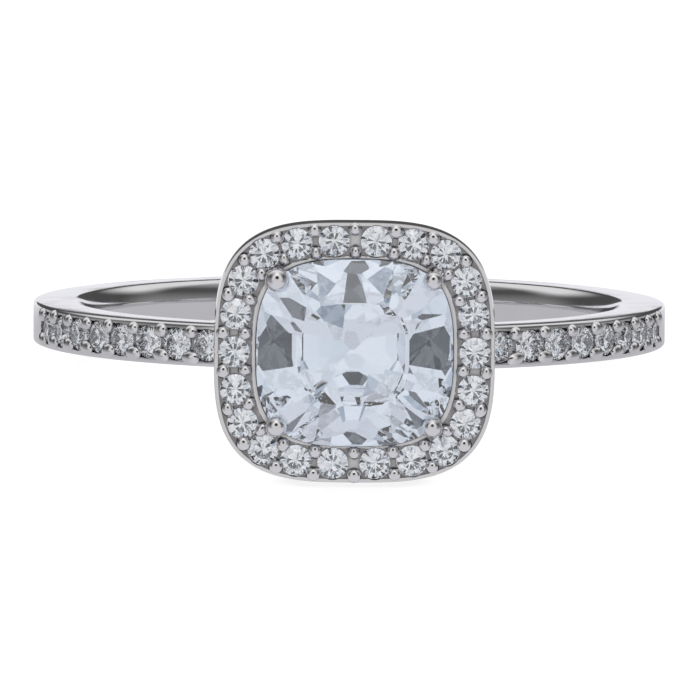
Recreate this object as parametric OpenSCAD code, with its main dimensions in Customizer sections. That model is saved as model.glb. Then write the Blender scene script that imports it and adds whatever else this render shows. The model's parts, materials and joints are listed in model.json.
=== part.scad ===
// Engagement ring in white metal: a cushion-cut centre stone in four claws, a cushion-shaped halo
// of small round stones, and a row of small round stones on each shoulder of a slim band.
// It lies on its side, as it rests by itself on a table, with the head towards -Y.

/* [Band] */
// Diameter of the finger hole
bore_d = 17.2; // [16:0.1:18.5]
// Thickness of the band, from the finger hole to the outer face
band_t = 1.65; // [1.5:0.05:1.9]
// Width of the band, along the finger
band_w = 1.35; // [1.3:0.05:1.5]
// Length of the finger hole's straight wall, between its domed edges
bore_wall = 0.5; // [0.4:0.05:0.6]
// How far the domed edges draw back from the finger
inner_edge = 0.35; // [0.25:0.05:0.4]
// Radius of the outer edges
outer_edge_r = 0.12; // [0.08:0.02:0.16]

/* [Shoulders] */
// Stones in the row on each shoulder
shoulder_count = 8; // [3:1:9]
// Diameter of a shoulder stone
shoulder_stone_d = 1.0; // [0.9:0.02:1.02]
// Angle round the finger from the middle of the head to the first shoulder stone
shoulder_first = 26.8; // [26.5:0.1:28]
// Angle round the finger from one shoulder stone to the next
shoulder_step = 6.38; // [6.36:0.01:6.8]

/* [Halo] */
// Halo from side to side, across the finger
halo_w = 8.8; // [8.7:0.05:9]
// Halo from edge to edge, along the finger
halo_l = 8.2; // [8.1:0.05:8.4]
// Fullness of the halo's corners
halo_fullness = 3.2; // [3:0.1:3.4]
// Height of the halo's underside above the finger's axis
halo_under = 10.2; // [10.1:0.05:10.4]
// Height of the halo's rims above the finger's axis
halo_top = 11.3; // [11.25:0.05:11.4]
// Diameter of a halo stone
halo_stone_d = 0.97; // [0.9:0.01:0.98]
// Height of the halo stones' girdles above the finger's axis
halo_girdle = 11.18; // [11.15:0.01:11.22]

/* [Centre stone] */
// Centre stone from side to side, across the finger
stone_w = 6.16; // [6:0.02:6.2]
// Centre stone from edge to edge, along the finger
stone_l = 5.86; // [5.7:0.02:5.9]
// Fullness of the centre stone's corners
stone_fullness = 3; // [2.8:0.1:3.1]
// Height of the centre stone's girdle above the finger's axis
stone_girdle = 11.33; // [11.3:0.01:11.4]
// Height of its crown, from girdle to table
stone_crown = 0.75; // [0.6:0.05:0.9]
// Depth of its pavilion, from girdle to culet
stone_pavilion = 2.48; // [2.2:0.02:2.5]

/* [Claws and beads] */
// Radius of a claw's wire
claw_wire_r = 0.27; // [0.22:0.01:0.28]
// Radius of the largest claw tip, at the upper left
claw_tip_r = 0.38; // [0.34:0.01:0.4]
// Radius of the beads that hold the small stones
bead_r = 0.19; // [0.16:0.01:0.2]
// Clearance between a stone and its metal
stone_gap = 0.03; // [0.02:0.005:0.04]

/* [Hidden] */
band_r = bore_d / 2 + band_t;
bore_r = bore_d / 2;

// Steps that the band's domed inner edges and its rounded outer edges are drawn in
inner_edge_steps = 4;
outer_edge_steps = 3;

// Shoulder channel: floor depth, rim thickness at the band's face, and slope of its bright-cut sides
channel_depth = 0.12;
channel_rim = 0.09;
channel_slope = 0.07;
shoulder_girdle = band_r - 0.1;
shoulder_bead_height = band_r - 0.03;
shoulder_bead_offset = 0.39;
channel_over = 0.3;
channel_start = 23.4;
channel_end = shoulder_first + (shoulder_count - 1) * shoulder_step + 5;

// Saddle under the halo: half width and height at its foot and at its top
saddle_foot = [3.9, 9];
saddle_top = [4.2, halo_under + 0.2];

// Halo plate: thickness of the rims, height of the floor between them, and its edges: the bevel at the
// back is as wide and twice as high as halo_bevel, the one at the front is rim_bevel by front_bevel_h
rim_t = 0.08;
halo_floor = halo_girdle - 0.01;
halo_bevel = 0.1;
rim_bevel = 0.05;
front_bevel_h = 0.15;
opening = [stone_w / 2 + 0.04, stone_l / 2 - 0.05];
opening_fullness = 3.3;
halo_bead_height = halo_girdle + 0.06;
halo_bead_out = 0.37;
halo_bead_in = 0.34;

// One quarter of the halo's stones: place across the finger, place along it
halo_quarter = [
    [3.77, 0],
    [3.72, 1.19],
    [3.49, 2.24],
    [2.84, 3.07],
    [1.82, 3.4],
    [0.66, 3.49],
];
last_q = len(halo_quarter) - 1;

// Stones of the halo in order round it, starting beside the right shoulder
halo_places = [
    for (i = [0 : last_q]) halo_quarter[i],
    for (i = [last_q : -1 : 1]) [-halo_quarter[i][0], halo_quarter[i][1]],
    for (i = [0 : last_q]) -halo_quarter[i],
    for (i = [last_q : -1 : 1]) [halo_quarter[i][0], -halo_quarter[i][1]]
];
halo_count = len(halo_places);

// Claws: places of a wire's foot and top and of its round tip, and for each corner its side across the
// finger, its side along it and how large its tip is as a share of the largest
claw_foot = [0.6, 0.57, 9.05];
claw_top = [2.53, 2.4, 11.3];
claw_tip = [2.44, 2.3, 11.62];
claw_corners = [[-1, 1, 1], [1, 1, 0.82], [-1, -1, 0.87], [1, -1, 0.84]];

// Proportions of the round small stones, as shares of the diameter
round_table = 0.56;
round_crown = 0.15;
round_girdle = 0.03;
round_pavilion = 0.42;

// Proportions of the centre stone
stone_table = 0.58;
stone_girdle_t = 0.14;

// Where the stars meet the upper halves, as a share of a crown, and the lower halves' reach down a pavilion
star_share = 0.66;
lower_share = 0.76;

// Length of a cut that only has to pass the metal
past = 1;

// Outline points of the large cushion shapes, and facets of curved metal
outline_points = 96;
$fn = 96;

// Resting pose: the ring tips until the halo's lower edge and the back of the band both touch the table
halo_low = [-(halo_under + 2 * halo_bevel), -halo_l / 2];
back_corner = [band_r - outer_edge_r, -(band_w / 2 - outer_edge_r)];
corner_run = back_corner - halo_low;
rest_tilt = atan2(corner_run[1], corner_run[0]) - asin(outer_edge_r / norm(corner_run));
rest_lift = outer_edge_r - turned(back_corner, rest_tilt)[1];
table_front = [-(stone_girdle + stone_girdle_t + stone_crown), -stone_table * stone_l / 2];
band_back = [band_r - outer_edge_r, band_w / 2 - outer_edge_r];
rest_shift = -(turned(table_front, rest_tilt)[0] + turned(band_back, rest_tilt)[0] + outer_edge_r) / 2;

// Names of the repeated stones
function halo_name(i) = str("halo_stone_", i < 10 ? "0" : "", i);
function shoulder_name(side, i) = str(side < 0 ? "left" : "right", "_shoulder_stone_", i);

// A point [y, z] of the upright ring, tipped head upwards by an angle
function turned(p, tilt) = [
    p[0] * cos(tilt) + p[1] * sin(tilt),
    -p[0] * sin(tilt) + p[1] * cos(tilt)
];

// Cushion outline with half sizes a and b: radius, point and outward direction at an angle
function cushion_r(a, b, n, angle) =
    pow(pow(abs(cos(angle)) / a, n) + pow(abs(sin(angle)) / b, n), -1 / n);
function cushion_point(a, b, n, angle) = cushion_r(a, b, n, angle) * [cos(angle), sin(angle)];
function slope_of(v, half, n) = (v < 0 ? -1 : 1) * pow(abs(v) / half, n - 1) / half;
function cushion_normal(a, b, n, p) =
    let (v = [slope_of(p[0], a, n), slope_of(p[1], b, n)]) v / norm(v);
function cushion(a, b, n, points) =
    [for (i = [0 : points - 1]) cushion_point(a, b, n, 360 * i / points)];

// Where two lines in the plane meet, each given by its normal and its offset
function meet(u, cu, v, cv) =
    let (d = u[0] * v[1] - u[1] * v[0]) [(cu * v[1] - cv * u[1]) / d, (u[0] * cv - v[0] * cu) / d];

// Height at the point p of the plane through three points
function plane_height(a, b, c, p) =
    let (m = cross(b - a, c - a)) a[2] - (m[0] * (p[0] - a[0]) + m[1] * (p[1] - a[1])) / m[2];

// A brilliant-cut stone, its girdle's lower edge at height 0: table, 8 stars, 8 kites, 16 upper halves,
// girdle, 16 lower halves and 8 pavilion mains. split is 1, or 2 for a rounder girdle.
module cut_stone(size, n, table, crown, girdle, pavilion, split) {
    a = size[0] / 2;
    b = size[1] / 2;
    per_main = 2 * split;
    ring = 8 * per_main;
    zt = girdle + crown;
    star_z = girdle + star_share * crown;
    lower_z = -lower_share * pavilion;
    main = [for (k = [0 : 8]) cushion_point(a, b, n, 45 * k)];
    facing = [for (p = main) cushion_normal(a, b, n, p)];
    reach = [for (k = [0 : 8]) main[k] * facing[k]];
    crown_line = reach * (1 - (1 - table) * star_share);
    lower_line = reach * (1 - lower_share);
    tables = [for (k = [0 : 7]) [each table * main[k], zt]];
    stars = [for (k = [0 : 7])
        [each meet(facing[k], crown_line[k], facing[k + 1], crown_line[k + 1]), star_z]];
    joins = [for (k = [0 : 7])
        [each meet(facing[k], lower_line[k], facing[k + 1], lower_line[k + 1]), lower_z]];
    // A facet between a main and the half angle is flat, so it cuts the round girdle in an arc
    edge = [for (i = [0 : ring - 1]) let (
        p = cushion_point(a, b, n, 360 * i / ring),
        k = floor(i / per_main),
        from = i % per_main < split ? k : k + 1,
        near = main[from],
        half = cushion_point(a, b, n, 45 * k + 22.5),
        on_facet = i % split == 0
    ) [
        p,
        on_facet ? girdle : plane_height(stars[k], [each near, girdle], [each half, girdle], p),
        on_facet ? 0 : plane_height(joins[k], [each near, 0], [each half, 0], p)
    ]];
    top = [for (e = edge) [e[0][0], e[0][1], e[1]]];
    low = [for (e = edge) [e[0][0], e[0][1], e[2]]];
    s0 = 8;
    j0 = 16;
    t0 = 24;
    l0 = t0 + ring;
    culet = l0 + ring;
    points = concat(tables, stars, joins, top, low, [[0, 0, -pavilion]]);
    faces = concat(
        [[for (k = [7 : -1 : 0]) k]],
        [for (k = [0 : 7]) [k, (k + 1) % 8, s0 + k]],
        [for (k = [0 : 7]) [k, s0 + k, t0 + per_main * k, s0 + (k + 7) % 8]],
        [for (k = [0 : 7]) for (h = [0, 1])
            [s0 + k, for (i = [split : -1 : 0]) t0 + (per_main * k + split * h + i) % ring]],
        [for (i = [0 : ring - 1]) [l0 + i, t0 + i, t0 + (i + 1) % ring, l0 + (i + 1) % ring]],
        [for (k = [0 : 7]) for (h = [0, 1])
            [j0 + k, for (i = [0 : split]) l0 + (per_main * k + split * h + i) % ring]],
        [for (k = [0 : 7]) [culet, j0 + (k + 7) % 8, l0 + per_main * k, j0 + k]]
    );
    polyhedron(points, faces);
}

// A solid through cushion outlines, lowest first: each section is half width, half length, height
module cushion_loft(sections, n) {
    count = outline_points;
    last = len(sections) - 1;
    points = [for (s = sections) for (p = cushion(s[0], s[1], n, count)) [p[0], p[1], s[2]]];
    faces = concat(
        [[for (i = [0 : count - 1]) i]],
        [[for (i = [count - 1 : -1 : 0]) last * count + i]],
        [for (k = [0 : last - 1]) for (i = [0 : count - 1]) let (j = (i + 1) % count)
            [k * count + i, (k + 1) * count + i, (k + 1) * count + j, k * count + j]]
    );
    polyhedron(points, faces);
}

// Lays the upright ring, whose finger axis is Z, on its side at rest
module at_rest() {
    translate([0, rest_shift, rest_lift]) rotate([-rest_tilt, 0, 0]) children();
}

// Head frame: X across the finger, Y along it, Z outwards from the finger's axis
module in_head() {
    rotate([90, 0, 0]) children();
}

// A place on a shoulder at an angle from the head, Z outwards from the finger's axis
module on_shoulder(side, angle) {
    rotate([0, 0, side * angle]) in_head() children();
}

function shoulder_angle(i) = shoulder_first + (i - 1) * shoulder_step;

module round_stone(d) {
    cut_stone([d, d], 2, round_table, round_crown * d, round_girdle * d, round_pavilion * d, 1);
}

// Hole drilled and burred for a round stone, open upwards
module round_seat(d) {
    rotate_extrude() polygon([
        [0, -round_pavilion * d - stone_gap],
        [d / 2 + stone_gap, -stone_gap],
        [d / 2 + stone_gap, past],
        [0, past]
    ]);
}

// Room that the beads leave round a stone's crown
module crown_room(d) {
    girdle_r = d / 2 + stone_gap;
    table_r = round_table * d / 2 + stone_gap;
    girdle_z = round_girdle * d;
    rotate_extrude() polygon([
        [0, -past],
        [girdle_r, -past],
        [girdle_r, girdle_z],
        [table_r, girdle_z + round_crown * d + stone_gap],
        [table_r, past],
        [0, past]
    ]);
}

// A quarter of an ellipse about a centre, from one angle on in steps
function quarter_arc(centre, half, from, steps) =
    [for (i = [0 : steps]) let (t = from + 90 * i / steps)
        centre + [half[0] * cos(t), half[1] * sin(t)]];

module band_blank() {
    inner = [bore_r + inner_edge, bore_wall / 2];
    inner_half = [inner_edge, (band_w - bore_wall) / 2];
    outer = [band_r - outer_edge_r, band_w / 2 - outer_edge_r];
    outer_half = [outer_edge_r, outer_edge_r];
    rotate_extrude() polygon(concat(
        quarter_arc([inner[0], -inner[1]], inner_half, 180, inner_edge_steps),
        quarter_arc([outer[0], -outer[1]], outer_half, 270, outer_edge_steps),
        quarter_arc(outer, outer_half, 0, outer_edge_steps),
        quarter_arc(inner, inner_half, 90, inner_edge_steps)
    ));
}

// Channel that the row of stones on one shoulder lies in, with sloped bright-cut sides
module shoulder_channel(side) {
    top = band_w / 2 - channel_rim;
    floor_half = top - channel_slope;
    floor_r = band_r - channel_depth;
    over_half = floor_half + channel_slope * (channel_depth + channel_over) / channel_depth;
    start = side > 0 ? -90 + channel_start : -90 - channel_end;
    rotate([0, 0, start]) rotate_extrude(angle = channel_end - channel_start) polygon([
        [floor_r, -floor_half],
        [band_r + channel_over, -over_half],
        [band_r + channel_over, over_half],
        [floor_r, floor_half]
    ]);
}

// Saddle that joins the head to the band, as wide as the band's flat face
module saddle() {
    saddle_w = band_w - 2 * outer_edge_r;
    translate([0, saddle_w / 2, 0]) rotate([90, 0, 0]) linear_extrude(saddle_w) polygon([
        [-saddle_foot[0], saddle_foot[1]],
        [saddle_foot[0], saddle_foot[1]],
        saddle_top,
        [-saddle_top[0], saddle_top[1]]
    ]);
}

module halo_plate() {
    a = halo_w / 2;
    b = halo_l / 2;
    difference() {
        cushion_loft([
            [a - halo_bevel, b - halo_bevel, halo_under],
            [a, b, halo_under + 2 * halo_bevel],
            [a, b, halo_top - front_bevel_h],
            [a - rim_bevel, b - rim_bevel, halo_top]
        ], halo_fullness);
        translate([0, 0, halo_floor]) linear_extrude(past) difference() {
            polygon(cushion(a - rim_t, b - rim_t, halo_fullness, outline_points));
            polygon(cushion(opening[0] + rim_t, opening[1] + rim_t, opening_fullness, outline_points));
        }
        translate([0, 0, halo_under - past]) linear_extrude(halo_top - halo_under + 2 * past)
            polygon(cushion(opening[0], opening[1], opening_fullness, outline_points));
    }
}

// A straight round wire between two places
module wire(from, to, r) {
    v = to - from;
    translate(from) rotate([0, acos(v[2] / norm(v)), atan2(v[1], v[0])]) cylinder(h = norm(v), r = r);
}

module claws() {
    for (corner = claw_corners) {
        places = [for (p = [claw_foot, claw_top, claw_tip]) [corner[0] * p[0], corner[1] * p[1], p[2]]];
        wire(places[0], places[1], claw_wire_r);
        wire(places[1], places[2], claw_wire_r);
        translate(places[0]) sphere(claw_wire_r);
        translate(places[1]) sphere(claw_wire_r);
        translate(places[2]) sphere(corner[2] * claw_tip_r);
    }
}

// Beads between neighbouring halo stones, one at the outer rim and one at the inner rim
module halo_beads() {
    for (i = [0 : halo_count - 1]) {
        p = halo_places[i];
        q = halo_places[(i + 1) % halo_count];
        out = [q[1] - p[1], p[0] - q[0]] / norm(q - p);
        for (at = [(p + q) / 2 + halo_bead_out * out, (p + q) / 2 - halo_bead_in * out])
            translate([at[0], at[1], halo_bead_height]) sphere(bead_r);
    }
}

module shoulder_beads() {
    for (side = [-1, 1]) for (i = [1 : shoulder_count]) for (edge = [-1, 1])
        on_shoulder(side, shoulder_angle(i + 0.5))
            translate([0, edge * shoulder_bead_offset, shoulder_bead_height]) sphere(bead_r);
}

module at_halo_stones() {
    for (p = halo_places) translate([p[0], p[1], halo_girdle]) children();
}

module at_shoulder_stones() {
    for (side = [-1, 1]) for (i = [1 : shoulder_count])
        on_shoulder(side, shoulder_angle(i)) translate([0, 0, shoulder_girdle]) children();
}

// Room for the centre stone, a clearance larger all round
module centre_room() {
    grow = 2 * stone_gap;
    translate([0, 0, stone_girdle - stone_gap])
        cut_stone([stone_w + grow, stone_l + grow], stone_fullness, stone_table, stone_crown,
            stone_girdle_t + grow, stone_pavilion, 2);
}

module band_and_setting() {
    color("gainsboro") at_rest() {
        difference() {
            union() {
                band_blank();
                in_head() {
                    saddle();
                    halo_plate();
                    claws();
                }
            }
            for (side = [-1, 1]) shoulder_channel(side);
            at_shoulder_stones() round_seat(shoulder_stone_d);
            in_head() {
                at_halo_stones() round_seat(halo_stone_d);
                centre_room();
            }
        }
        difference() {
            union() {
                in_head() halo_beads();
                shoulder_beads();
            }
            in_head() at_halo_stones() crown_room(halo_stone_d);
            at_shoulder_stones() crown_room(shoulder_stone_d);
        }
    }
}

module centre_stone() {
    color("aliceblue") at_rest() in_head() translate([0, 0, stone_girdle])
        cut_stone([stone_w, stone_l], stone_fullness, stone_table, stone_crown, stone_girdle_t,
            stone_pavilion, 2);
}

module halo_stone(i) {
    p = halo_places[i - 1];
    color("white") at_rest() in_head() translate([p[0], p[1], halo_girdle]) round_stone(halo_stone_d);
}

module shoulder_stone(side, i) {
    color("white") at_rest() on_shoulder(side, shoulder_angle(i))
        translate([0, 0, shoulder_girdle]) round_stone(shoulder_stone_d);
}

band_and_setting();
centre_stone();
for (i = [1 : halo_count])
    halo_stone(i);
for (side = [-1, 1]) for (i = [1 : shoulder_count])
    shoulder_stone(side, i);
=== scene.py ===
"""Halo engagement ring lying on a pale table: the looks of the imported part.

The metal is modelled again, finer than in the solids, and joined into one mesh. The stones are cut again
by planes, with more facets. All lengths below are millimetres in the upright ring's own frame, with X
across the finger, Y away from the head and Z along the finger, until the ring is laid at rest. Places in
the head have X across the finger, Y along it and Z outwards from the finger's axis.
"""
import json
import math
import random

import bmesh
import bpy
import numpy as np
from mathutils import Matrix, Vector


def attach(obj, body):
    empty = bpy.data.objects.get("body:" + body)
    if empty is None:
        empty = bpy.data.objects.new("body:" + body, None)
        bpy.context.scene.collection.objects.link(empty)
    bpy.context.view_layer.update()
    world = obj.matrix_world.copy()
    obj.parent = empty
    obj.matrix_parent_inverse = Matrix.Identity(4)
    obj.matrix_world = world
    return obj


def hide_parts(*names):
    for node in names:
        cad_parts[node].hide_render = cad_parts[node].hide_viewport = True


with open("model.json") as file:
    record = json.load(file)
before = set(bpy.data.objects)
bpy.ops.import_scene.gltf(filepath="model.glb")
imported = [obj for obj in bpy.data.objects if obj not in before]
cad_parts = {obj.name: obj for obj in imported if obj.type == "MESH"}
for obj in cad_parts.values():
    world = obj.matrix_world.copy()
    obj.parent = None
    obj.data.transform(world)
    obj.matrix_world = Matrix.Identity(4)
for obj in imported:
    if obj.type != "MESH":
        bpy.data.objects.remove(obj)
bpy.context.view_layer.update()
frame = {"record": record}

MM = 0.001

# Band: radii of the finger hole and of the outer face, half width, half of the hole's straight wall, how far
# the domed inner edges draw back from the finger, and radius of the outer edges
BORE_R = 8.6
BAND_R = 10.25
BAND_HALF = 0.675
BORE_HALF = 0.01
INNER_EDGE = 0.35
OUTER_EDGE = 0.12
BAND_STEPS = 288
INNER_EDGE_STEPS = 12
OUTER_EDGE_STEPS = 6

# Shoulders: angles are counted round the finger from the middle of the head, in degrees, and the slope of a
# channel's sides is how far each of them leans outwards over its depth
SHOULDER_COUNT = 8
SHOULDER_STONE_D = 1.0
SHOULDER_FIRST = 26.8
SHOULDER_STEP = 6.38
SHOULDER_GIRDLE = BAND_R - 0.1
CHANNEL_START = 23.4
CHANNEL_END = SHOULDER_FIRST + (SHOULDER_COUNT - 1) * SHOULDER_STEP + 5
CHANNEL_STEPS = 96
CHANNEL_DEPTH = 0.12
CHANNEL_OVER = 0.3
CHANNEL_HALF = 0.44
CHANNEL_SLOPE = 0.07
SHOULDER_BEAD_AT = (0.39, BAND_R - 0.03)

# Halo: heights above the finger's axis, widths of the outer and the inner rim, and places of a quarter of
# the stones. The beads stand this far out and in from the line between two stones.
HALO_HALF = np.array([4.4, 4.1])
HALO_FULLNESS = 3.2
HALO_UNDER = 10.2
HALO_TOP = 11.3
HALO_STONE_D = 0.97
HALO_GIRDLE = 11.18
HALO_FLOOR = 11.08
RIM_T = 0.125
INNER_RIM_T = 0.18
OPENING_HALF = np.array([3.05, 2.84])
OPENING_FULLNESS = 3.3
HALO_POINTS = 192
BEAD_HEIGHT = 11.23
BEAD_OUT = 0.37
BEAD_IN = 0.34
HALO_QUARTER = [(3.77, 0), (3.72, 1.19), (3.49, 2.24), (2.84, 3.07), (1.82, 3.4), (0.66, 3.49)]

# Edges of the halo plate. The bevel at the back is twice as high as it is wide. The curve at the front has
# points given by how far inwards and how far below the rims they lie.
BACK_BEVEL = 0.1
FRONT_BEVEL = 0.03
FRONT_CURVE = [(0, 0.15), (0.02, 0.06), (FRONT_BEVEL, 0)]

# Saddle under the halo: half width and height at its foot and at its top
SADDLE_FOOT = (3.9, 9.0)
SADDLE_TOP = (4.2, HALO_UNDER + 0.2)

# Centre stone: its table is given as shares of the stone to the side and to the front
STONE_HALF = np.array([3.08, 2.93])
STONE_FULLNESS = 3
STONE_GIRDLE = 11.33
STONE_GIRDLE_T = 0.14
CROWN = 0.65
TABLE = (0.55, 0.545)
STONE_POINTS = 96

# Facets of the centre stone. Corner kites and upper halves are given by how much steeper they are than the
# other kites, and stars by how far their plane drops from the stone's axis to the outline. Pavilion facets
# are given by where their plane meets the axis and how far it lies from the girdle at the outline, both in
# millimetres from the girdle's own edge. The next-to ones start with how far round they stand from the side
# or from the front, in degrees. The breaks meet the girdle at the outline: they stand between the mains, at
# the side and front mains, and at the corners.
CORNER_KITES = 1.0
UPPER_HALVES = 1.1
STARS = 1.15
SIDE_MAINS = (2.56, 0.15)
FRONT_MAINS = (2.51, 0.37)
CORNER_MAINS = (2.79, 0.0)
NEXT_TO_SIDE = (20.6, 3.1, 0.23)
NEXT_TO_FRONT = (40.0, 2.65, 0.41)
LOWER_HALVES = (3.2, 0.1)
CORNER_HALVES = (2.69, 0.02)
BREAKS = (3.41, 5.03, 5.97)

# How far the centre stone's facets are off, in degrees and as a share of their height, and how much of that
# the crown has
CENTRE_OFF_TURN = 2
CENTRE_OFF_HEIGHT = 0.02
CROWN_CARE = 0.4
CENTRE_SEED = 3

# Small stones, in shares of the diameter. The upper halves are given by how much steeper they are than the
# kites, the stars by their heights on the axis and at the outline as shares of the crown's, the lower halves
# and the breaks by how deep they meet the axis as a share of the mains', and the breaks also by how far they
# lie from the girdle at the outline. ROUND_LOWER_AT is the azimuth of the first lower half, in degrees.
ROUND_TABLE = 0.56
ROUND_CROWN = 0.15
ROUND_GIRDLE = 0.03
ROUND_PAVILION = 0.42
ROUND_UPPER_HALVES = 1.18
ROUND_STARS = (1.3, 0.78)
ROUND_LOWER_HALVES = 1.06
ROUND_LOWER_AT = 5.6
ROUND_BREAKS = 0.99
ROUND_BREAKS_EDGE = 0.035

# How the small stones vary: cuts in use, degrees and share of height that a facet is off, degrees of lean
ROUND_CUTS = 5
OFF_TURN = 2.5
OFF_HEIGHT = 0.025
LEAN = 2
SMALL_SEED = 5

# Claws: for each corner its side across the finger, its side along it and how large its tip is
CLAW_WIRE_R = 0.27
CLAW_TIP_R = 0.38
CLAW_FOOT = (0.6, 0.57, 9.05)
CLAW_TOP = (2.53, 2.4, 11.3)
CLAW_TIP = (2.44, 2.3, 11.62)
CLAW_CORNERS = [(-1, 1, 1), (1, 1, 0.82), (-1, -1, 0.87), (1, -1, 0.84)]

# Sides of a wire, subdivisions of balls and of the claws' tips, angles in degrees from which an edge is
# sharp, and distances at which cut points touch and are joined
WIRE_SIDES = 32
BALL_DETAIL = 3
TIP_DETAIL = 5
CREASE = 40
PLATE_CREASE = 25
TOUCH = 1e-6
WELD = 1e-5

# Beads: half sizes along the row, across it and outwards, and how much they vary by hand
OUTER_BEAD = (0.24, 0.22, 0.2)
INNER_BEAD = (0.2, 0.24, 0.2)
UPPER_BEAD = (0.24, 0.23, 0.2)
LOWER_BEAD = (0.33, 0.23, 0.19)
BEAD_OFF_SIZE = 0.08
BEAD_OFF_PLACE = 0.015
BEAD_OFF_TURN = 0.25
BEAD_SEED = 11

# Seats: gap between a stone and its metal, gap between a crown and its beads, and length of a cut that only
# has to pass the metal. A turned seat ends in a point of radius SEAT_POINT.
GAP = 0.03
CROWN_GAP = 0.01
PAST = 1
SEAT_POINT = 1e-3
SEAT_SIDES = 32

# The room for the centre stone reaches deeper than the stone, so that no wire shows through it. Its foot is
# this share of the outline.
ROOM_DEPTH = 2.75
ROOM_POINT = 0.02

# Metal: wear from and to, with the roughness at each, and its tint where it is worn least and most
METAL_ROUGHNESS = (0.35, 0.7, 0.05, 0.12)
METAL_TONES = ((0.76, 0.75, 0.765, 1), (0.82, 0.81, 0.825, 1))

# Painted shade in the recesses of the metal: its reach, its tint, and the openness from and to with the
# share of that tint
# # at each. The second one takes some of it away where a place is almost closed.
PAINTED_SHADE_REACH = 0.3
PAINTED_SHADE_TONE = (0.2, 0.192, 0.195, 1)
PAINTED_SHADE_OPEN = (0.2, 0.82, 1.0, 0.0)
PAINTED_SHADE_CLOSED = (0.03, 0.15, 0.3, 1.0)

# Stones: the two tints of the faint cloud in them
CENTRE_TONES = ((0.77, 0.85, 0.96, 1), (0.82, 0.88, 0.96, 1))
SMALL_TONES = ((0.95, 0.96, 0.985, 1), (0.99, 0.995, 1.0, 1))
DIAMOND_IOR = 2.417

# What light passes through the stones: a white sky of this brightness with dimmer, bluer round panels. Each
# panel has its azimuth to the right and its elevation along the finger, both from the stone's axis, its
# radius and the half width of its soft edge, all in degrees, and its brightness. The paired ones stand on
# the left too.
THROUGH = 0.9
PAIRED_PANELS = [
    (56.5, 42.8, 8.5, 3, 0.15),
    (11, -30.7, 6, 3, 0.58),
    (57.4, -48.6, 16.8, 3, 0.15),
    (24, -3, 6, 2, 0.45),
    (40, 10, 7, 2, 0.5),
    (38, -18, 7, 2, 0.4),
    (15, 25, 9, 2, 0.65),
]
MIDDLE_PANEL = (-0.5, -3.2, 11.1, 1.5, 0.05)
PANEL_TINT = (0.5, 0.72, 1, 1)

# What the metal mirrors in the sky: the elevations between which a part's brightness changes, and the
# brightness at each. The sides also brighten towards the top.
FRONT_SKY = (8, 66, 0.7, 0.9)
SIDE_SKY = (0, 25, 0.3, 0.09)
BACK_SKY = (12, 30, 0.08, 0.85)
TOP_SKY = (35, 85)
TOP_LEVEL = 0.95

# Where those parts meet: degrees from FRONT_MIDDLE, and degrees to either side of the front
FRONT_MIDDLE = (0, 14.5)
FRONT_END = (45, 62)
BACK_START = (95, 125)

# A soft box high in front, and a dark round shade under it that gives curved metal its contrast
BOX_SIDES = (28, 40)
BOX_FOOT = (50, 58)
BOX_LEVEL = 1.1
SHADE_MIDDLE = (0, 35)
SHADE_EDGE = (15, 18.5)
SHADE_LEVEL = 0.03

# The plain sky that the camera sees behind the table
BACKDROP_LEVEL = 1.05

# The table as the metal mirrors it: brightness under the ring, at its sides and in front, and behind it
# from near to far, with the distances from the table's middle, in millimetres, between which it changes.
# The front ends and the back starts at these degrees to either side of the front.
TABLE_UNDER = 0.6
TABLE_SIDES = 0.35
TABLE_SIDES_AT = (14, 40)
TABLE_FRONT = 0.75
TABLE_BEHIND = (0.92, 0.12)
TABLE_BEHIND_FROM = (14, 20)
TABLE_BEHIND_TO = (70, 95)
TABLE_FRONT_END = (25, 50)
TABLE_BACK_START = (120, 140)

# Camera: its distance from the middle of the finger hole, its angles to the ring in radians, its focal
# length in pixels, and the pixel of the picture where the middle of the hole shows
CAMERA_DISTANCE = 300
CAMERA_RISE = 0.0871194
CAMERA_SWING = -0.0156121
CAMERA_ROLL = 0.0070308
FOCAL_PIXELS = 9234.03
HOLE_PIXEL = (349.157, 321.236)
PICTURE_SIZE = 700
SENSOR_WIDTH = 36

HEAD = Matrix.Rotation(math.radians(90), 4, "X")


def resting_place(mount):
    """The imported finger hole's frame: it takes millimetres of the upright ring to the ring at rest."""
    z = Vector(mount["axis"]).normalized()
    x = Vector((1, 0, 0))
    turn = Matrix((x, z.cross(x), z)).transposed().to_4x4()
    return Matrix.Translation(mount["pos_m"]) @ turn @ Matrix.Scale(MM, 4)


LAY = resting_place(next(m for m in frame["record"]["mounts"] if m["name"] == "finger_hole"))


def on_shoulder(side, angle):
    return Matrix.Rotation(math.radians(side * angle), 4, "Z") @ HEAD


def outline(half, fullness, azimuths):
    """Points of a cushion outline at azimuths in degrees, and the outward normals there."""
    t = np.radians(np.asarray(azimuths, float))
    way = np.stack([np.cos(t), np.sin(t)], 1)
    r = (np.abs(way / half) ** fullness).sum(1) ** (-1 / fullness)
    p = way * r[:, None]
    out = np.sign(p) * np.abs(p / half) ** (fullness - 1) / half
    return p, out / np.linalg.norm(out, axis=1, keepdims=True)


def cushion(half, fullness, points, grow=0.0):
    """Points round a cushion outline, moved outwards by grow."""
    p, out = outline(half, fullness, np.arange(points) * 360 / points)
    return p + grow * out


def arc(centre, half, start, steps):
    """A quarter of an ellipse about a centre, from one angle on in steps."""
    t = np.radians(start + 90 * np.arange(steps + 1) / steps)
    return [(centre[0] + half[0] * math.cos(a), centre[1] + half[1] * math.sin(a)) for a in t]


def tube(rows, closed):
    """Points and faces of a tube through closed rows of points; closed joins the last to the first."""
    count = len(rows[0])
    points = np.concatenate(rows)
    faces = []
    last = len(rows) if closed else len(rows) - 1
    for k in range(last):
        a, b = k * count, (k + 1) % len(rows) * count
        faces += [(a + i, b + i, b + (i + 1) % count, a + (i + 1) % count) for i in range(count)]
    if not closed:
        faces.append(tuple(range(count)))
        faces.append(tuple(range((len(rows) - 1) * count + count - 1, (len(rows) - 1) * count - 1, -1)))
    return points, faces


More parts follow.
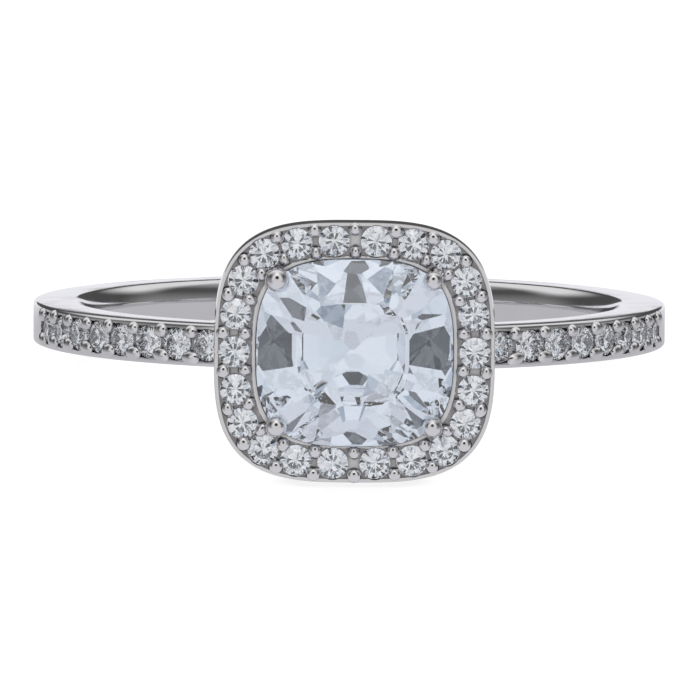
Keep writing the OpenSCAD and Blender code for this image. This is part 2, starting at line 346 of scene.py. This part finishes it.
def lathe(profile, steps, start=0.0, sweep=360.0):
    """A profile of (radius, height) points turned about Z."""
    full = sweep >= 360
    turns = np.radians(start + sweep * np.arange(steps if full else steps + 1) / steps)
    profile = np.array(profile)
    rows = [np.stack([profile[:, 0] * math.cos(t), profile[:, 0] * math.sin(t), profile[:, 1]], 1)
            for t in turns]
    return tube(rows, full)


def spun(profile, count):
    """A closed solid of revolution about Z, drawn upwards from foot to top."""
    ring = np.radians(np.arange(count) * 360 / count)
    rows = [np.column_stack([r * np.cos(ring), r * np.sin(ring), np.full(count, z)]) for r, z in profile]
    return tube(rows, False)


def ball(r, place, detail=BALL_DETAIL):
    bm = bmesh.new()
    bmesh.ops.create_icosphere(bm, subdivisions=detail, radius=r)
    points = [v.co.copy() for v in bm.verts]
    faces = [[v.index for v in f.verts] for f in bm.faces]
    bm.free()
    return points, faces, place


def place_in_scene(name, mesh):
    item = bpy.data.objects.new(name, mesh)
    bpy.context.scene.collection.objects.link(item)
    return item


def solid(name, parts, crease=CREASE):
    """One object of several closed meshes, each (points, faces, place), facing outwards.
    Its normals are kept on the face corners, because the boolean steps carry them along."""
    bm = bmesh.new()
    for points, faces, place in parts:
        verts = [bm.verts.new(place @ Vector(p)) for p in points]
        for f in faces:
            bm.faces.new([verts[i] for i in f])
    bmesh.ops.recalc_face_normals(bm, faces=bm.faces)
    mesh = bpy.data.meshes.new(name)
    bm.to_mesh(mesh)
    bm.free()
    mesh.shade_smooth()
    mesh.set_sharp_from_angle(angle=math.radians(crease))
    normals = np.empty(len(mesh.loops) * 3, np.float32)
    mesh.corner_normals.foreach_get("vector", normals)
    kept = mesh.attributes.new("kept_normal", "FLOAT_VECTOR", "CORNER")
    kept.data.foreach_set("vector", normals)
    return place_in_scene(name, mesh)


def combine(base, steps):
    """Applies boolean steps, each (operation, object), and deletes the objects that were used."""
    for operation, tool in steps:
        step = base.modifiers.new(operation, "BOOLEAN")
        step.operation = operation
        step.solver = "MANIFOLD"
        step.object = tool
    graph = bpy.context.evaluated_depsgraph_get()
    mesh = bpy.data.meshes.new_from_object(base.evaluated_get(graph))
    base.modifiers.clear()
    base.data = mesh
    for _, tool in steps:
        bpy.data.objects.remove(tool)


def set_kept_normals(mesh):
    """Gives the joined mesh the normals that its faces had before they were cut."""
    kept = np.empty(len(mesh.loops) * 3, np.float32)
    mesh.attributes["kept_normal"].data.foreach_get("vector", kept)
    kept = kept.reshape(-1, 3)
    flat = np.empty(len(mesh.polygons) * 3, np.float32)
    mesh.polygons.foreach_get("normal", flat)
    sizes = np.empty(len(mesh.polygons), np.int32)
    mesh.polygons.foreach_get("loop_total", sizes)
    flat = np.repeat(flat.reshape(-1, 3), sizes, axis=0)
    side = np.where((kept * flat).sum(1) < 0, -1.0, 1.0)
    kept = kept * side[:, None]
    kept /= np.maximum(np.linalg.norm(kept, axis=1, keepdims=True), 1e-9)
    mesh.attributes.remove(mesh.attributes["kept_normal"])
    mesh.shade_smooth()
    mesh.normals_split_custom_set(kept.tolist())


def band():
    inner = (BORE_R + INNER_EDGE, BORE_HALF)
    inner_half = (INNER_EDGE, BAND_HALF - BORE_HALF)
    outer = (BAND_R - OUTER_EDGE, BAND_HALF - OUTER_EDGE)
    outer_half = (OUTER_EDGE, OUTER_EDGE)
    profile = (arc((inner[0], -inner[1]), inner_half, 180, INNER_EDGE_STEPS)
               + arc((outer[0], -outer[1]), outer_half, 270, OUTER_EDGE_STEPS)
               + arc(outer, outer_half, 0, OUTER_EDGE_STEPS)
               + arc(inner, inner_half, 90, INNER_EDGE_STEPS))
    return solid("band", [(*lathe(profile, BAND_STEPS), Matrix())])


def saddle():
    half = BAND_HALF - OUTER_EDGE
    foot, top = SADDLE_FOOT, SADDLE_TOP
    section = [(-foot[0], foot[1]), (foot[0], foot[1]), top, (-top[0], top[1])]
    rows = [np.array([(x, y, z) for x, z in section]) for y in (-half, half)]
    return solid("saddle", [(*tube(rows, False), HEAD)])


def halo_plate():
    """The plate's whole section, from its underside round the rims and back through the opening."""
    outer = ([(-BACK_BEVEL, HALO_UNDER), (0, HALO_UNDER + 2 * BACK_BEVEL)]
             + [(-inwards, HALO_TOP - below) for inwards, below in FRONT_CURVE]
             + [(-RIM_T, HALO_TOP), (-RIM_T, HALO_FLOOR)])
    inner = [(INNER_RIM_T, HALO_FLOOR), (INNER_RIM_T, HALO_TOP - FRONT_BEVEL),
             (INNER_RIM_T - FRONT_BEVEL, HALO_TOP), (FRONT_BEVEL, HALO_TOP),
             (0, HALO_TOP - FRONT_BEVEL), (0, HALO_UNDER)]
    rows = []
    for half, fullness, section in ((HALO_HALF, HALO_FULLNESS, outer),
                                    (OPENING_HALF, OPENING_FULLNESS, inner)):
        for grow, z in section:
            p = cushion(half, fullness, HALO_POINTS, grow)
            rows.append(np.column_stack([p, np.full(HALO_POINTS, z)]))
    return solid("plate", [(*tube(rows, True), HEAD)], crease=PLATE_CREASE)


def wire(a, b):
    turn = (b - a).to_track_quat("Z", "X").to_matrix().to_4x4()
    straight = spun([(CLAW_WIRE_R, 0), (CLAW_WIRE_R, (b - a).length)], WIRE_SIDES)
    return solid("wire", [(*straight, HEAD @ Matrix.Translation(a) @ turn)])


def claws():
    """Two wires, their joints and a round tip for each claw, to be joined."""
    items = []
    for x, y, share in CLAW_CORNERS:
        foot, top, tip = (Vector((x * p[0], y * p[1], p[2])) for p in (CLAW_FOOT, CLAW_TOP, CLAW_TIP))
        items += [wire(foot, top), wire(top, tip)]
        rounds = ((foot, CLAW_WIRE_R, BALL_DETAIL), (top, CLAW_WIRE_R, BALL_DETAIL),
                  (tip, share * CLAW_TIP_R, TIP_DETAIL))
        for place, r, detail in rounds:
            items.append(solid("tip", [ball(r, HEAD @ Matrix.Translation(place), detail)]))
    return items


def halo_places():
    q = HALO_QUARTER
    return ([Vector(p) for p in q] + [Vector((-p[0], p[1])) for p in q[:0:-1]]
            + [Vector((-p[0], -p[1])) for p in q] + [Vector((p[0], -p[1])) for p in q[:0:-1]])


def bead_places():
    """Where each bead sits, in the halo and on the shoulders, as places for a ball of radius 1. Beads are
    raised by hand with a graver, so each differs a little from the next."""
    hand = random.Random(BEAD_SEED)

    def bead(row, at, size):
        sizes = [s * hand.uniform(1 - BEAD_OFF_SIZE, 1 + BEAD_OFF_SIZE) for s in size]
        shift = [hand.uniform(-BEAD_OFF_PLACE, BEAD_OFF_PLACE) for _ in range(2)]
        turn = Matrix.Rotation(hand.uniform(-BEAD_OFF_TURN, BEAD_OFF_TURN), 4, "Z")
        spot = Matrix.Translation((at[0] + shift[0], at[1] + shift[1], at[2]))
        return row @ spot @ turn @ Matrix.Diagonal((*sizes, 1))

    places = []
    stones = halo_places()
    for i, p in enumerate(stones):
        q = stones[(i + 1) % len(stones)]
        middle = (p + q) / 2
        along = Matrix.Rotation(math.atan2(q[1] - p[1], q[0] - p[0]), 4, "Z")
        row = HEAD @ Matrix.Translation((*middle, BEAD_HEIGHT)) @ along
        places.append(bead(row, (0, -BEAD_OUT, 0), OUTER_BEAD))
        places.append(bead(row, (0, BEAD_IN, 0), INNER_BEAD))
    for side in (-1, 1):
        for i in range(SHOULDER_COUNT):
            row = on_shoulder(side, SHOULDER_FIRST + (i + 0.5) * SHOULDER_STEP)
            for edge, size in ((-1, LOWER_BEAD), (1, UPPER_BEAD)):
                places.append(bead(row, (0, edge * SHOULDER_BEAD_AT[0], SHOULDER_BEAD_AT[1]), size))
    return places


def stone_places():
    """Place and diameter of each small stone, its girdle's lower edge at height 0."""
    places = [(HEAD @ Matrix.Translation((p[0], p[1], HALO_GIRDLE)), HALO_STONE_D) for p in halo_places()]
    for side in (-1, 1):
        for i in range(SHOULDER_COUNT):
            turn = on_shoulder(side, SHOULDER_FIRST + i * SHOULDER_STEP)
            places.append((turn @ Matrix.Translation((0, 0, SHOULDER_GIRDLE)), SHOULDER_STONE_D))
    return places


def seats():
    """Holes for the small stones, open upwards."""
    parts = []
    for place, d in stone_places():
        r = d / 2 + GAP
        profile = [(SEAT_POINT, -ROUND_PAVILION * d - GAP), (r, -GAP), (r, PAST), (SEAT_POINT, PAST)]
        parts.append((*spun(profile, SEAT_SIDES), place))
    return solid("seats", parts)


def crown_rooms():
    """Room that the beads leave round each small stone's crown."""
    parts = []
    for place, d in stone_places():
        r = d / 2 + CROWN_GAP
        table = ROUND_TABLE * d / 2 + CROWN_GAP
        girdle = ROUND_GIRDLE * d
        crown = girdle + ROUND_CROWN * d + CROWN_GAP
        profile = [(SEAT_POINT, -PAST), (r, -PAST), (r, girdle), (table, crown), (table, PAST),
                   (SEAT_POINT, PAST)]
        parts.append((*spun(profile, SEAT_SIDES), place))
    return solid("rooms", parts)


def channels():
    floor_r = BAND_R - CHANNEL_DEPTH
    over_half = CHANNEL_HALF + CHANNEL_SLOPE * (CHANNEL_DEPTH + CHANNEL_OVER) / CHANNEL_DEPTH
    over_r = BAND_R + CHANNEL_OVER
    profile = [(floor_r, -CHANNEL_HALF), (over_r, -over_half), (over_r, over_half), (floor_r, CHANNEL_HALF)]
    sweep = CHANNEL_END - CHANNEL_START
    parts = [(*lathe(profile, CHANNEL_STEPS, start, sweep), Matrix())
             for start in (-90 + CHANNEL_START, -90 - CHANNEL_END)]
    return solid("channels", parts)


def centre_room():
    """Room for the centre stone, a clearance larger all round."""
    sections = [(ROOM_POINT, STONE_GIRDLE - ROOM_DEPTH - GAP), (1, STONE_GIRDLE - GAP),
                (1, STONE_GIRDLE + STONE_GIRDLE_T + GAP),
                (TABLE[0], STONE_GIRDLE + STONE_GIRDLE_T + CROWN + GAP)]
    rows = [np.column_stack([cushion(STONE_HALF * share, STONE_FULLNESS, STONE_POINTS, GAP),
                             np.full(STONE_POINTS, z)])
            for share, z in sections]
    return solid("room", [(*tube(rows, False), HEAD)])


def metal():
    base = band()
    steps = [("UNION", saddle()), ("UNION", halo_plate())] + [("UNION", item) for item in claws()]
    steps += [("DIFFERENCE", item) for item in (channels(), seats(), centre_room())]
    beads = solid("beads", [ball(1, place) for place in bead_places()])
    combine(beads, [("DIFFERENCE", crown_rooms())])
    steps.append(("UNION", beads))
    combine(base, steps)
    set_kept_normals(base.data)
    base.data.transform(LAY)
    base.name = base.data.name = "metal"
    return base


def all_quarters(azimuth):
    """An azimuth, counted from the X axis, and its mirror images in the other three quarters."""
    return [azimuth, 180 - azimuth, 180 + azimuth, -azimuth]


def cut_stone(name, half, fullness, girdle, crown, tiers):
    """A stone cut from a tall blank. The table is cut first, then one facet for each azimuth of each tier:
    (1 for the crown or -1 for the pavilion, azimuths, height on the axis, height at the outline)."""
    deepest = 2 * max(half)
    bm = bmesh.new()
    low, high = ([bm.verts.new((*p, z)) for p in cushion(half, fullness, STONE_POINTS)]
                 for z in (-deepest, girdle + crown))
    bm.faces.new(low[::-1])
    bm.faces.new(high)
    for i in range(STONE_POINTS):
        j = (i + 1) % STONE_POINTS
        bm.faces.new((low[i], low[j], high[j], high[i]))
    for side, azimuths, axis, edge in tiers:
        start = girdle if side > 0 else 0
        for p, out in zip(*outline(half, fullness, azimuths)):
            normal = Vector((*(out * (axis - edge)), side * p.dot(out))).normalized()
            everything = bm.verts[:] + bm.edges[:] + bm.faces[:]
            made = bmesh.ops.bisect_plane(bm, geom=everything, dist=TOUCH, plane_no=normal, clear_outer=True,
                                          plane_co=(*p, start + side * edge))
            rim = [part for part in made["geom_cut"] if isinstance(part, bmesh.types.BMEdge)]
            if rim:
                bmesh.ops.contextual_create(bm, geom=rim)
    bmesh.ops.remove_doubles(bm, verts=bm.verts[:], dist=WELD)
    bmesh.ops.recalc_face_normals(bm, faces=bm.faces[:])
    mesh = bpy.data.meshes.new(name)
    bm.to_mesh(mesh)
    bm.free()
    return mesh


def centre_stone():
    """The cushion stone. Its facets are placed by azimuth, and each is a little off."""
    table = sum(TABLE) / 2
    slope = CROWN / (1 - table)
    step = 90 / 8
    halves_near = all_quarters(step) + all_quarters(7 * step)
    halves_far = all_quarters(3 * step) + all_quarters(5 * step)
    between = all_quarters(2 * step) + all_quarters(6 * step)
    corners = all_quarters(4 * step)
    side_at, *next_to_side = NEXT_TO_SIDE
    front_at, *next_to_front = NEXT_TO_FRONT
    tiers = [
        (1, [0, 180], CROWN / (1 - TABLE[0]), 0),
        (1, [90, 270], CROWN / (1 - TABLE[1]), 0),
        (1, corners, slope * CORNER_KITES, 0),
        (1, halves_near + halves_far, slope * UPPER_HALVES, 0),
        (1, between, CROWN + STARS * table, CROWN - STARS * (1 - table)),
        (-1, [0, 180], *SIDE_MAINS),
        (-1, [90, 270], *FRONT_MAINS),
        (-1, corners, *CORNER_MAINS),
        (-1, all_quarters(side_at), *next_to_side),
        (-1, all_quarters(90 - front_at), *next_to_front),
        (-1, halves_near, *LOWER_HALVES),
        (-1, halves_far, *CORNER_HALVES),
        (-1, between, BREAKS[0], 0),
        (-1, [0, 90, 180, 270], BREAKS[1], 0),
        (-1, corners, BREAKS[2], 0),
    ]
    hand = random.Random(CENTRE_SEED)
    facets = []
    for side, azimuths, axis, edge in tiers:
        care = CROWN_CARE if side > 0 else 1
        for azimuth in azimuths:
            turn = care * hand.uniform(-CENTRE_OFF_TURN, CENTRE_OFF_TURN)
            height = 1 + care * hand.uniform(-CENTRE_OFF_HEIGHT, CENTRE_OFF_HEIGHT)
            facets.append((side, [azimuth + turn], axis * height, edge))
    return cut_stone("centre_stone_cut", STONE_HALF, STONE_FULLNESS, STONE_GIRDLE_T, CROWN, facets)


def round_stone(name, hand):
    """A round brilliant of diameter 1. Stones this small are cut in haste, so each facet is a little off."""
    def ring(side, count, phase, axis, edge=0.0):
        return [(side, [phase + 360 * k / count + hand.uniform(-OFF_TURN, OFF_TURN)],
                 axis * hand.uniform(1 - OFF_HEIGHT, 1 + OFF_HEIGHT), edge) for k in range(count)]

    step = 90 / 8
    slope = ROUND_CROWN / (1 - ROUND_TABLE)
    star_axis, star_edge = (ROUND_CROWN * share for share in ROUND_STARS)
    tiers = (ring(1, 8, 0, slope)
             + ring(1, 16, step, slope * ROUND_UPPER_HALVES)
             + ring(1, 8, 2 * step, star_axis, star_edge)
             + ring(-1, 16, 0, ROUND_PAVILION)
             + ring(-1, 32, ROUND_LOWER_AT, ROUND_PAVILION * ROUND_LOWER_HALVES)
             + ring(-1, 16, step, ROUND_PAVILION * ROUND_BREAKS, ROUND_BREAKS_EDGE))
    return cut_stone(name, np.array([0.5, 0.5]), 2, ROUND_GIRDLE, ROUND_CROWN, tiers)


class Shader:
    """Adds nodes to a tree: inputs are given by name, as values or as other nodes' sockets."""

    def __init__(self, tree):
        self.tree = tree
        tree.nodes.clear()

    def add(self, kind, inputs=None, **settings):
        node = self.tree.nodes.new(kind)
        for name, value in settings.items():
            setattr(node, name, value)
        for name, value in (inputs or {}).items():
            socket = node.inputs[name]
            if isinstance(value, bpy.types.NodeSocket):
                self.tree.links.new(value, socket)
            else:
                socket.default_value = value
        return node

    def math(self, operation, *values):
        return self.add("ShaderNodeMath", dict(enumerate(values)), operation=operation).outputs[0]

    def between(self, value, low, high, to_low, to_high, smooth=True):
        kind = "SMOOTHSTEP" if smooth else "LINEAR"
        inputs = {"Value": value, "From Min": low, "From Max": high, "To Min": to_low, "To Max": to_high}
        return self.add("ShaderNodeMapRange", inputs, interpolation_type=kind).outputs["Result"]

    def fade(self, value, towards, share):
        return self.add("ShaderNodeMix", {"Factor": share, "A": value, "B": towards}).outputs["Result"]

    def blend(self, colour, towards, share):
        inputs = {"Factor": share, "A": colour, "B": towards}
        return self.add("ShaderNodeMix", inputs, data_type="RGBA").outputs["Result"]

    def azimuth(self, parts):
        """Degrees from the front, -Y, counted to the right."""
        back = self.math("MULTIPLY", parts["Y"], -1.0)
        return self.math("DEGREES", self.math("ARCTAN2", parts["X"], back))


def new_material(name):
    material = bpy.data.materials.new(name)
    material.use_nodes = True
    return material, Shader(material.node_tree)


def white_gold():
    """Rhodium-plated white gold: fine polishing marks, and painted shade that darkens its recesses."""
    material, s = new_material("polished_white_gold")
    place = s.add("ShaderNodeTexCoord").outputs["Object"]
    wear = s.add("ShaderNodeTexNoise", {"Vector": place, "Scale": 900.0, "Detail": 4.0}).outputs["Fac"]
    fine = s.add("ShaderNodeTexNoise", {"Vector": place, "Scale": 9000.0, "Detail": 2.0}).outputs["Fac"]
    rough = s.between(wear, *METAL_ROUGHNESS)
    bump = s.add("ShaderNodeBump", {"Height": fine, "Strength": 0.02, "Distance": 0.02 * MM})
    tone = s.blend(*METAL_TONES, wear)
    # Painted shade: ambient occlusion darkens the metal's colour towards a dark tint where the metal is
    # closed in
    open_air = s.add("ShaderNodeAmbientOcclusion", {"Distance": PAINTED_SHADE_REACH * MM}, samples=8).outputs["AO"]
    painted_shade = s.math("MULTIPLY", s.between(open_air, *PAINTED_SHADE_OPEN), s.between(open_air, *PAINTED_SHADE_CLOSED))
    colour = s.blend(tone, PAINTED_SHADE_TONE, painted_shade)
    shader = s.add("ShaderNodeBsdfPrincipled", {"Base Color": colour, "Metallic": 1.0, "Roughness": rough,
                   "Normal": bump.outputs["Normal"]})
    s.add("ShaderNodeOutputMaterial", {"Surface": shader.outputs[0]})
    return material


def gem(name, low, high):
    """Clear cut stone with the refraction of diamond, and a faint cloud in its tint."""
    material, s = new_material(name)
    place = s.add("ShaderNodeTexCoord").outputs["Object"]
    cloud = s.add("ShaderNodeTexNoise", {"Vector": place, "Scale": 300.0, "Detail": 2.0}).outputs["Fac"]
    shader = s.add("ShaderNodeBsdfPrincipled", {"Base Color": s.blend(low, high, cloud), "Roughness": 0.0,
                   "IOR": DIAMOND_IOR, "Transmission Weight": 1.0})
    s.add("ShaderNodeOutputMaterial", {"Surface": shader.outputs[0]})
    return material


def small_nodes():
    """Names of the small stones' nodes, in the order of their places."""
    halo = [f"halo_stone_{i + 1:02d}" for i in range(len(halo_places()))]
    shoulders = [f"{side}_shoulder_stone_{i + 1}"
                 for side in ("left", "right") for i in range(SHOULDER_COUNT)]
    return halo + shoulders


def lay_stone(name, mesh, place, node):
    item = place_in_scene(name, mesh)
    item.matrix_world = LAY @ place
    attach(item, "root")
    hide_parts(node)


def set_stones():
    """Puts one cut stone in the place of each packed stone. The small ones share a few meshes, and each is
    turned about its own axis and leans a little, as set by hand."""
    hand = random.Random(SMALL_SEED)
    large = centre_stone()
    large.materials.append(gem("centre_gem", *CENTRE_TONES))
    small_gem = gem("small_gem", *SMALL_TONES)
    cuts = [round_stone(f"round_cut_{k + 1}", hand) for k in range(ROUND_CUTS)]
    for cut in cuts:
        cut.materials.append(small_gem)
    middle = HEAD @ Matrix.Translation((0, 0, STONE_GIRDLE))
    lay_stone("centre_cut", large, middle, "centre_stone")
    for k, (node, (place, d)) in enumerate(zip(small_nodes(), stone_places())):
        turn = Matrix.Rotation(hand.uniform(0, math.pi / 4), 4, "Z")
        axis = Vector((hand.uniform(-1, 1), hand.uniform(-1, 1), 0))
        lean = Matrix.Rotation(math.radians(hand.uniform(-LEAN, LEAN)), 4, axis)
        place = place @ lean @ turn @ Matrix.Scale(d, 4)
        lay_stone(node + "_cut", cuts[k % ROUND_CUTS], place, node)


def white_table():
    """Plain white to the eye. The metal mirrors it dimmer: it is darker to the sides, lighter in front and
    lightest behind the ring, and ends in the dark."""
    material, s = new_material("table_white")
    place = s.add("ShaderNodeTexCoord").outputs["Object"]
    parts = s.add("ShaderNodeSeparateXYZ", {0: place}).outputs
    away = s.add("ShaderNodeVectorMath", {0: place}, operation="LENGTH").outputs["Value"]
    aside = s.math("ABSOLUTE", s.azimuth(parts))

    def along(distances, near, far):
        return s.between(away, distances[0] * MM, distances[1] * MM, near, far)

    sides = along(TABLE_SIDES_AT, TABLE_UNDER, TABLE_SIDES)
    behind = along(TABLE_BEHIND_TO, *TABLE_BEHIND)
    behind = s.fade(TABLE_UNDER, behind, along(TABLE_BEHIND_FROM, 0.0, 1.0))
    mirrored = s.fade(sides, TABLE_FRONT, s.between(aside, *TABLE_FRONT_END, 1.0, 0.0))
    mirrored = s.fade(mirrored, behind, s.between(aside, *TABLE_BACK_START, 0.0, 1.0))
    ray = s.add("ShaderNodeLightPath")
    diffuse = s.add("ShaderNodeBsdfDiffuse", {"Color": (0.5, 0.5, 0.5, 1)})
    glow = s.add("ShaderNodeEmission", {"Color": (1, 1, 1, 1), "Strength": 0.8})
    both = s.add("ShaderNodeAddShader", {0: diffuse.outputs[0], 1: glow.outputs[0]})
    dim = s.add("ShaderNodeEmission", {"Color": (0.95, 0.955, 1, 1), "Strength": mirrored})
    seen = s.add("ShaderNodeMixShader", {0: ray.outputs["Is Glossy Ray"], 1: both.outputs[0],
                 2: dim.outputs[0]})
    s.add("ShaderNodeOutputMaterial", {"Surface": seen.outputs[0]})
    return material


def lay_table():
    bm = bmesh.new()
    bmesh.ops.create_circle(bm, cap_ends=True, segments=96, radius=1.0)
    mesh = bpy.data.meshes.new("table")
    bm.to_mesh(mesh)
    bm.free()
    mesh.materials.append(white_table())
    place_in_scene("table", mesh)


def direction(azimuth, elevation):
    """Unit vector: azimuth 0 points to the front, -Y, and 90 to the right."""
    a, e = math.radians(azimuth), math.radians(elevation)
    return Vector((math.sin(a) * math.cos(e), -math.cos(a) * math.cos(e), math.sin(e)))


def light_world():
    """Three skies: a grey one with soft boxes for reflections in the metal, a white one with dim bluish
    panels for light through the stones, and plain white behind the ring."""
    world = bpy.data.worlds.new("studio")
    bpy.context.scene.world = world
    world.use_nodes = True
    s = Shader(world.node_tree)
    way = s.add("ShaderNodeTexCoord").outputs["Generated"]
    parts = s.add("ShaderNodeSeparateXYZ", {0: way}).outputs
    elevation = s.math("DEGREES", s.math("ARCSINE", parts["Z"]))
    aside = s.math("ABSOLUTE", s.azimuth(parts))

    def spot(towards, inside, outside):
        """1 within inside degrees of a direction, 0 beyond outside degrees."""
        near = s.add("ShaderNodeVectorMath", {0: way, 1: towards}, operation="DOT_PRODUCT").outputs["Value"]
        return s.between(near, math.cos(math.radians(outside)), math.cos(math.radians(inside)), 0.0, 1.0)

    front = s.between(elevation, *FRONT_SKY)
    sides = s.between(elevation, *SIDE_SKY, smooth=False)
    sides = s.fade(sides, TOP_LEVEL, s.between(elevation, *TOP_SKY, 0.0, 1.0, smooth=False))
    sides = s.fade(sides, s.between(elevation, *BACK_SKY), s.between(aside, *BACK_START, 0.0, 1.0))
    mirrored = s.fade(sides, front, spot(direction(*FRONT_MIDDLE), *FRONT_END))
    box_sides = s.between(aside, *BOX_SIDES, 1.0, 0.0)
    box_foot = s.between(elevation, *BOX_FOOT, 0.0, 1.0)
    mirrored = s.fade(mirrored, BOX_LEVEL, s.math("MULTIPLY", box_sides, box_foot))
    mirrored = s.fade(mirrored, SHADE_LEVEL, spot(direction(*SHADE_MIDDLE), *SHADE_EDGE))

    through = THROUGH
    panels = [(side * right, *rest) for right, *rest in PAIRED_PANELS for side in (1, -1)]
    for right, along, radius, edge, level in panels + [MIDDLE_PANEL]:
        towards = LAY.to_3x3().normalized() @ direction(right, along)
        panel = spot(towards, radius - edge, radius + edge)
        through = s.math("MULTIPLY", through, s.between(panel, 0, 1, 1, level))

    ray = s.add("ShaderNodeLightPath")
    through_stone = ray.outputs["Is Transmission Ray"]
    strength = s.fade(mirrored, through, through_stone)
    strength = s.fade(strength, BACKDROP_LEVEL, ray.outputs["Is Camera Ray"])
    blue = s.math("MULTIPLY", s.math("SUBTRACT", 1.0, through), through_stone)
    colour = s.blend((1, 1, 1, 1), PANEL_TINT, blue)
    background = s.add("ShaderNodeBackground", {"Color": colour, "Strength": strength})
    s.add("ShaderNodeOutputWorld", {"Surface": background.outputs[0]})


def aim_camera():
    """The camera 300 mm in front of the ring and 5 degrees above its plane, as in the photograph."""
    cos_rise, sin_rise = math.cos(CAMERA_RISE), math.sin(CAMERA_RISE)
    cos_swing, sin_swing = math.cos(CAMERA_SWING), math.sin(CAMERA_SWING)
    cos_roll, sin_roll = math.cos(CAMERA_ROLL), math.sin(CAMERA_ROLL)
    right = Vector((cos_swing, sin_swing, 0))
    forward = Vector((-sin_swing * cos_rise, cos_swing * cos_rise, -sin_rise))
    up = right.cross(forward)
    place = -CAMERA_DISTANCE * forward
    right, up = (cos_roll * right + sin_roll * up, cos_roll * up - sin_roll * right)
    away = [(PICTURE_SIZE / 2 - pixel) / FOCAL_PIXELS for pixel in HOLE_PIXEL]
    forward = (forward + away[0] * right - away[1] * up).normalized()
    right = (right - right.dot(forward) * forward).normalized()
    up = right.cross(forward)
    turn = Matrix((right, up, -forward)).transposed().to_4x4()
    camera = bpy.data.cameras.new("camera")
    camera.sensor_width = SENSOR_WIDTH
    camera.lens = FOCAL_PIXELS / PICTURE_SIZE * camera.sensor_width
    camera.clip_start, camera.clip_end = 0.01, 10
    item = place_in_scene("camera", camera)
    turned = LAY.to_3x3().normalized().to_4x4() @ turn
    item.matrix_world = Matrix.Translation(LAY @ place) @ turned
    bpy.context.scene.camera = item


gold = white_gold()
ring = metal()
ring.data.materials.clear()
ring.data.materials.append(gold)
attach(ring, "root")
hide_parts("band_and_setting")

set_stones()

lay_table()
light_world()
aim_camera()

scene = bpy.context.scene
scene.view_settings.view_transform = "Standard"
scene.cycles.max_bounces = 24
scene.cycles.glossy_bounces = 16
scene.cycles.transmission_bounces = 12
